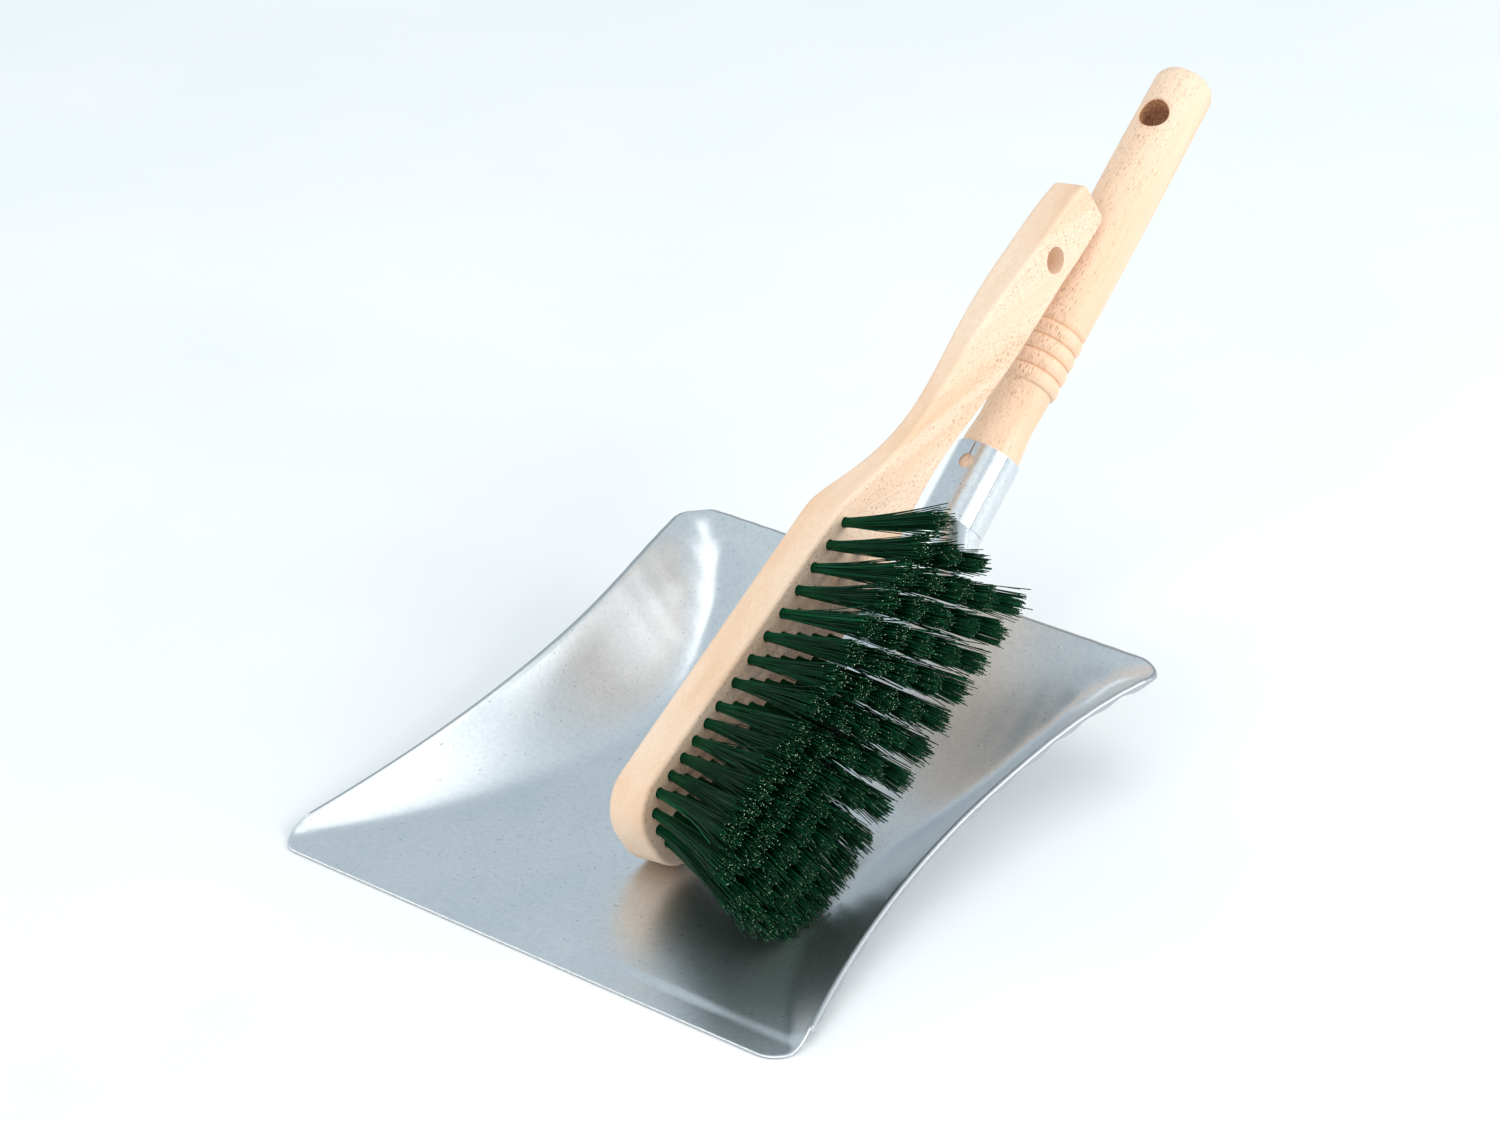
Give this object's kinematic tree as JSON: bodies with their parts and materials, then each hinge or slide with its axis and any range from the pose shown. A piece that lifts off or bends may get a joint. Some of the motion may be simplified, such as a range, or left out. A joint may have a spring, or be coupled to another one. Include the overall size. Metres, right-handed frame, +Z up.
{
  "type": "dust pan and brush set",
  "caption": "Pressed steel dust pan with a turned wooden handle, and a wooden hand brush with fanned bristles lying in it.",
  "frame": {"origin": "on the floor plane, on the pan's centre line, on the flat underside of the pan, 95 mm behind its front edge", "axes": "+Z up; +Y from the pan's front edge towards its handle; +X to the right seen from the front edge"},
  "size_m": [0.216, 0.3937, 0.1914],
  "materials": {
    "galvanised_steel": "satin",
    "turned_beech": "sanded, unvarnished",
    "planed_beech": "sanded, unvarnished",
    "bristles": "satin filaments",
    "anchor_steel": "plain wire"
  },
  "bodies": {
    "pan": {"pan_sheet": "galvanised_steel", "hem_left": "galvanised_steel", "hem_right": "galvanised_steel", "handle_socket": "galvanised_steel", "pan_handle": "turned_beech"},
    "brush": {"brush_block": "planed_beech", "tufts_column_01": "bristles", "tufts_column_02": "bristles", "tufts_column_03": "bristles", "tufts_column_04": "bristles", "tufts_column_05": "bristles", "tufts_column_06": "bristles", "tufts_column_07": "bristles", "tufts_column_08": "bristles", "tufts_column_09": "bristles", "tufts_column_10": "bristles", "tufts_column_11": "bristles", "tufts_column_12": "bristles", "tufts_column_13": "bristles", "tufts_column_14": "bristles", "tufts_front_arc": "bristles", "anchors_column_01": "anchor_steel", "anchors_column_02": "anchor_steel", "anchors_column_03": "anchor_steel", "anchors_column_04": "anchor_steel", "anchors_column_05": "anchor_steel", "anchors_column_06": "anchor_steel", "anchors_column_07": "anchor_steel", "anchors_column_08": "anchor_steel", "anchors_column_09": "anchor_steel", "anchors_column_10": "anchor_steel", "anchors_column_11": "anchor_steel", "anchors_column_12": "anchor_steel", "anchors_column_13": "anchor_steel", "anchors_column_14": "anchor_steel", "anchors_front_arc": "anchor_steel"}
  },
  "joints": [
    {"name": "brush_lift", "type": "slide", "parent": "pan", "child": "brush", "axis": [0, 0, 1], "range_m": [0, 0.2]}
  ]
}
